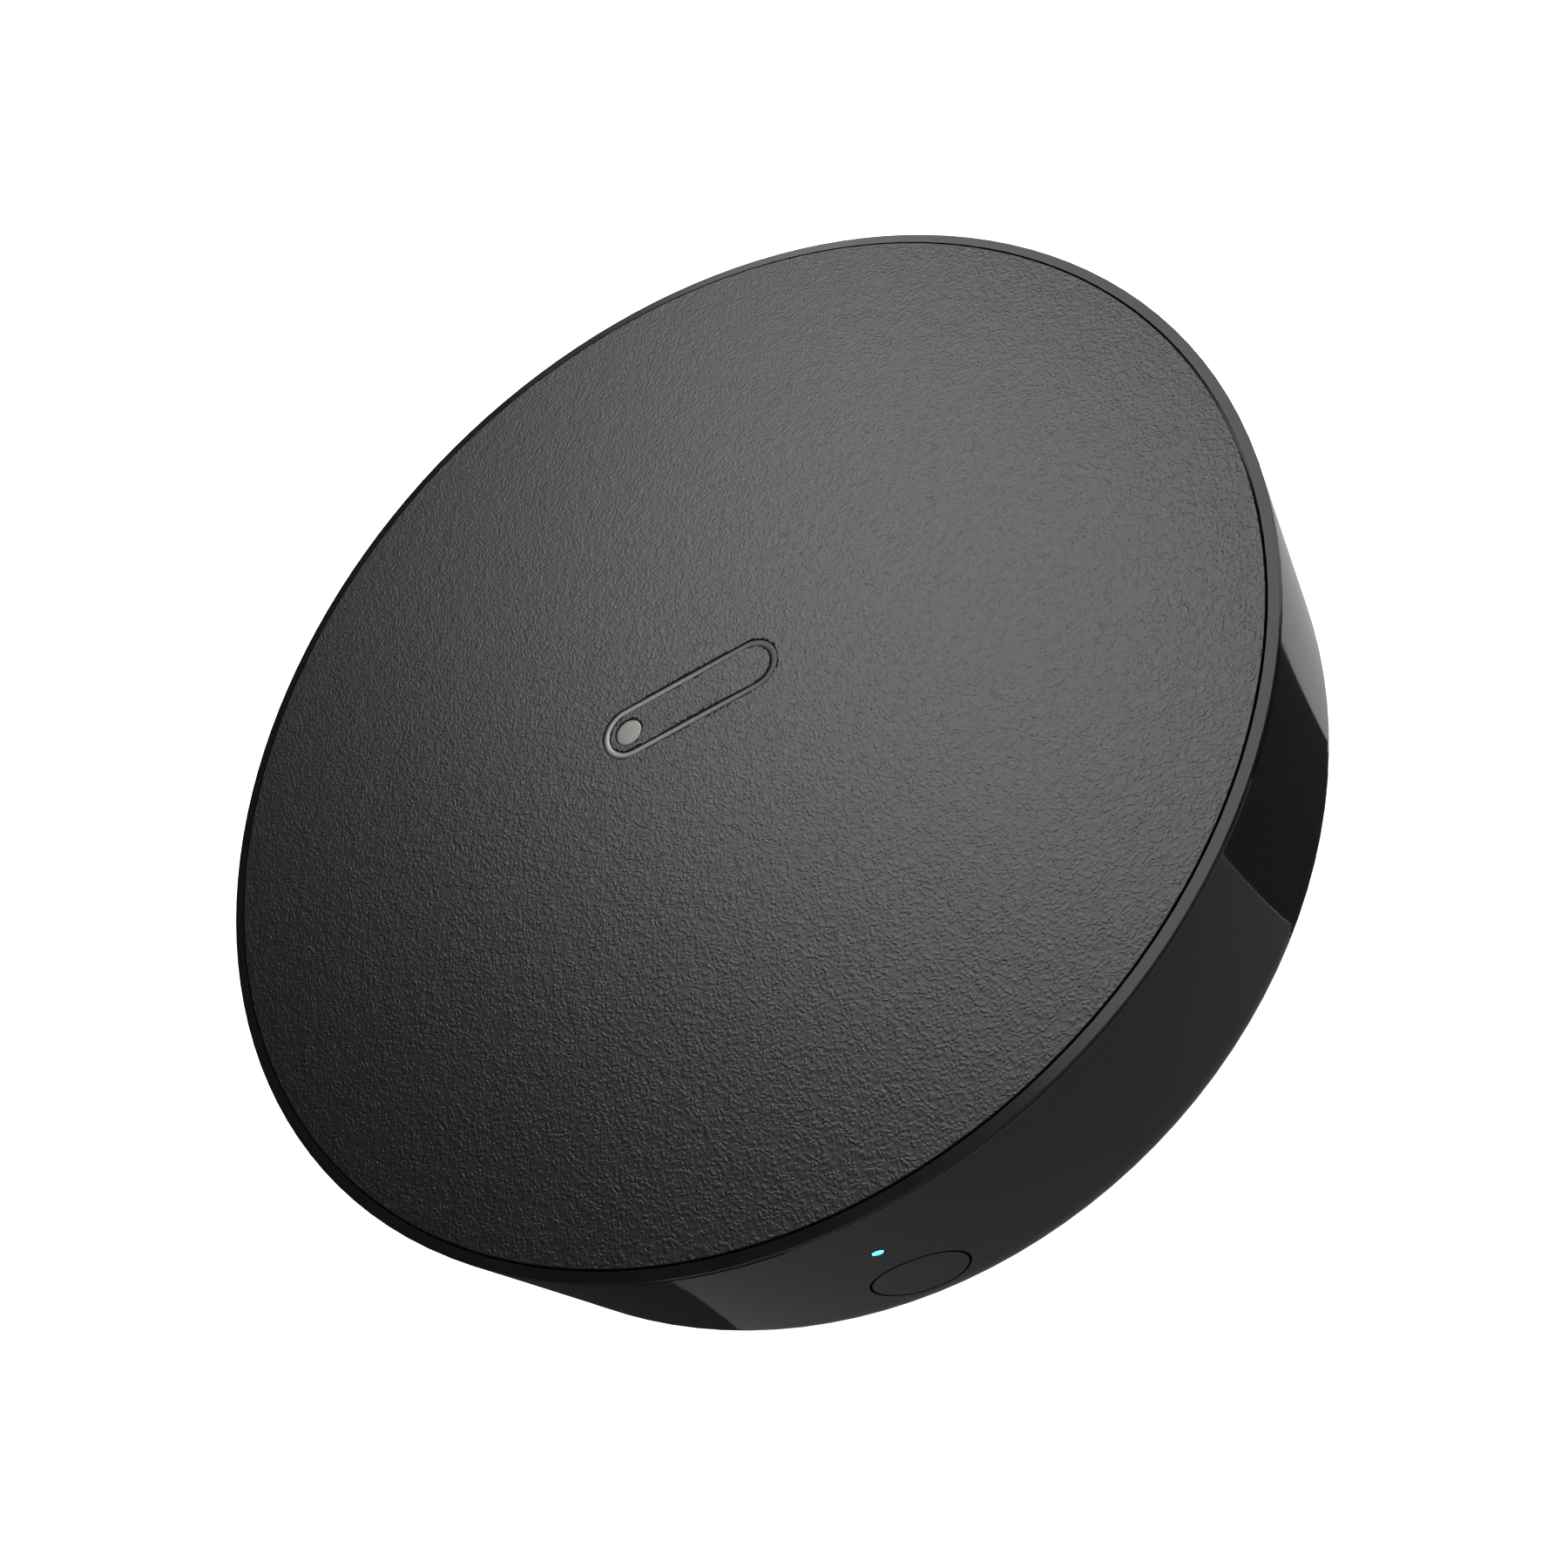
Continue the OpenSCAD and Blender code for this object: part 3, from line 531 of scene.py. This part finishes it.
def grain(points):
    """Depth of the leather's relief under its highest point, in millimetres."""
    drift = np.stack([waves(points, BEND_CELL, 1), waves(points, BEND_CELL, 2)], 1)
    bent = points + drift * BEND
    pebbles = np.clip(creases(bent, CREASE_CELL, 3) / CREASE_WIDTH, 0, 1)
    pebbles = pebbles * pebbles * (3 - 2 * pebbles)
    lumps = 0.5 + 0.5 * waves(bent, LUMP_CELL, 4)
    swell = 0.5 + 0.5 * waves(points, SWELL_CELL, 5)
    return GRAIN_DEPTH * (CREASE_SHARE * (1 - pebbles) + LUMP_SHARE * lumps + SWELL_SHARE * swell)


def lid_top(radius, height):
    """Points and faces of the grained top."""
    flat = disc_grid(LID_CELLS, radius - LID_ROUND - LID_SUPPORT)
    side = LID_CELLS + 1
    faces = []
    for i in range(LID_CELLS):
        for j in range(LID_CELLS):
            a = i * side + j
            faces.append((a, a + side, a + side + 1, a + 1))
    return np.column_stack([flat, height - grain(flat)]), faces


def lid_edge(edge, bottom):
    """Rings of points that round the top's outer edge and drop to the bottom, with a slight waver."""
    flat = edge[:, :2]
    outward = flat / np.hypot(*flat.T)[:, None]
    waver = LID_WAVER * (1 + waves(flat, WAVER_CELL, 6)) / 2
    rings = []
    for step in range(ROUND_STEPS + 1):
        turn = step / ROUND_STEPS * math.pi / 2
        out = LID_SUPPORT + (LID_ROUND - waver) * math.sin(turn)
        down = LID_ROUND * (1 - math.cos(turn))
        rings.append(np.column_stack([flat + outward * out[:, None], edge[:, 2] - down]))
    rings.append(np.column_stack([rings[-1][:, :2], np.full(len(edge), bottom)]))
    return rings


def make_lid():
    """The leather lid: grained top, rounded edge, plain bottom and the recess for the mark."""
    low, high = (Vector(c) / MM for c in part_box("lid_panel"))
    top, faces = lid_top((high.x - low.x) / 2, high.z)
    previous = border(LID_CELLS)
    count = len(previous)
    rings = lid_edge(top[previous], low.z)
    start_at = len(top)
    for _ in rings:
        faces += joined(previous, start_at, count)
        previous = list(range(start_at, start_at + count))
        start_at += count
    faces += [(previous[k], start_at, previous[(k + 1) % count]) for k in range(count)]
    middle = np.array([[0, 0, low.z]])
    points = np.concatenate([top, *rings, middle]) * MM
    lid = piece("lid_leather", points.tolist(), faces, "hub", "lid_grain", "lid_panel")
    cut_recess(lid)
    lid.data.shade_smooth()
    lid.data.set_sharp_from_angle(angle=LID_SHARP)


def joined(previous, start_at, count):
    """Faces between a ring of points and the next one."""
    out = []
    for k in range(count):
        n = (k + 1) % count
        out.append((previous[k], start_at + k, start_at + n, previous[n]))
    return out


# ---------------------------------------------------------------- emblem and its recess
MARK_LINE = 0.65
MARK_EDGE = 0.035
MARK_CROWN = 0.02
CROWN_STEPS = 6
EDGE_STEPS = 3
MARK_SHARP = math.radians(40)
RECESS_GAP = 0.01
RECESS_EDGE = 0.03
CUT_ABOVE = 0.3


def stadium(centre, half, radius, steps=32):
    """A long round-ended outline along X, once round."""
    out = []
    for end, from_angle in ((1, -90), (-1, 90)):
        for k in range(steps + 1):
            angle = math.radians(from_angle + 180 * k / steps)
            across = centre.x + end * half + radius * math.cos(angle)
            out.append((across, centre.y + radius * math.sin(angle)))
    return out


def swept(centre, half, profile, closed):
    """Points and faces of stadiums whose radius and height follow a profile, closed in a ring or capped."""
    points = []
    for radius, z in profile:
        points += [(x * MM, y * MM, z * MM) for x, y in stadium(centre, half, radius)]
    n = len(points) // len(profile)
    rings = [list(range(k * n, (k + 1) * n)) for k in range(len(profile))]
    faces = []
    following = rings[1:] + rings[:1] if closed else rings[1:]
    for one, other in zip(rings, following):
        for k in range(n):
            m = (k + 1) % n
            faces.append((one[k], one[m], other[m], other[k]))
    if not closed:
        faces.append(tuple(reversed(rings[0])))
        faces.append(tuple(rings[-1]))
    return points, faces


def mark_shapes():
    """The mark's ring and the dot at its left end: centre, half length, outer radius and inner radius."""
    low, high = (Vector(c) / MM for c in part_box("emblem"))
    centre = (low + high) / 2
    outer = (high.y - low.y) / 2
    ring = (centre, (high.x - low.x) / 2 - outer, outer, outer - MARK_LINE)
    dot = (Vector((low.x + outer, centre.y, 0)), 0.0, outer - 2 * MARK_LINE, None)
    return low.z, high.z, ring, dot


def edge_steps(radius, top, side):
    """A rounded upper edge, from the wall at radius; side is 1 where the solid lies inside the radius."""
    out = []
    for k in range(EDGE_STEPS + 1):
        turn = math.radians(90 * k / EDGE_STEPS)
        inward = MARK_EDGE * (1 - math.cos(turn))
        down = MARK_EDGE * (1 - math.sin(turn))
        out.append((radius - side * inward, top - down))
    return out


def make_mark():
    """The inlaid mark, with rounded edges and a low crown."""
    bottom, top, ring, dot = mark_shapes()
    level = top - MARK_CROWN
    centre, half, outer, inner = ring
    outside = [(outer - RECESS_GAP, bottom)] + edge_steps(outer - RECESS_GAP, level, 1)
    inside = edge_steps(inner + RECESS_GAP, level, -1)[::-1] + [(inner + RECESS_GAP, bottom)]
    points, faces = swept(centre, half, outside + [((outer + inner) / 2, top)] + inside, True)
    centre, half, outer, _ = dot
    profile = [(outer - RECESS_GAP, bottom)] + edge_steps(outer - RECESS_GAP, level, 1)
    for k in range(CROWN_STEPS - 1, 0, -1):
        part = k / CROWN_STEPS
        profile.append((outer * k / CROWN_STEPS, top - MARK_CROWN * part ** 2))
    more, extra = swept(centre, half, profile, False)
    faces += [tuple(k + len(points) for k in face) for face in extra]
    mark_piece = piece("mark_inlay", points + more, faces, "hub", "emblem_metal", "emblem")
    mark_piece.data.shade_smooth()
    mark_piece.data.set_sharp_from_angle(angle=MARK_SHARP)


def cut_recess(lid):
    """The pressed recess that the mark lies in, with a softened edge."""
    bottom, _, ring, dot = mark_shapes()
    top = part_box("lid_panel")[1][2] / MM
    flare = RECESS_EDGE + CUT_ABOVE
    centre, half, outer, inner = ring
    outside = [(outer, bottom), (outer, top - RECESS_EDGE), (outer + flare, top + CUT_ABOVE)]
    inside = [(inner - flare, top + CUT_ABOVE), (inner, top - RECESS_EDGE), (inner, bottom)]
    cut(lid, "ring", *swept(centre, half, outside + inside, True))
    centre, half, outer, _ = dot
    outside = [(outer, bottom), (outer, top - RECESS_EDGE), (outer + flare, top + CUT_ABOVE)]
    cut(lid, "dot", *swept(centre, half, outside, False))


def cut(lid, name, points, faces):
    """Takes a closed solid out of the lid."""
    mesh = bpy.data.meshes.new("tool_" + name)
    mesh.from_pydata(points, [], faces)
    tool = bpy.data.objects.new("tool_" + name, mesh)
    bpy.context.scene.collection.objects.link(tool)
    modifier = lid.modifiers.new(name, "BOOLEAN")
    modifier.operation = "DIFFERENCE"
    modifier.solver = "MANIFOLD"
    modifier.object = tool
    graph = bpy.context.evaluated_depsgraph_get()
    cut_mesh = bpy.data.meshes.new_from_object(lid.evaluated_get(graph))
    lid.modifiers.clear()
    lid.data = cut_mesh
    bpy.data.objects.remove(tool)


# ---------------------------------------------------------------- build
def dress_nodes():
    """Gives every CAD node the look of its slot."""
    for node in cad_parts.values():
        for place in node.material_slots:
            place.material = looks[place.material.name]


looks = make_looks()
add_camera()
add_studio()
dress_nodes()
make_lid()
make_mark()
bpy.context.scene.view_settings.view_transform = "Standard"
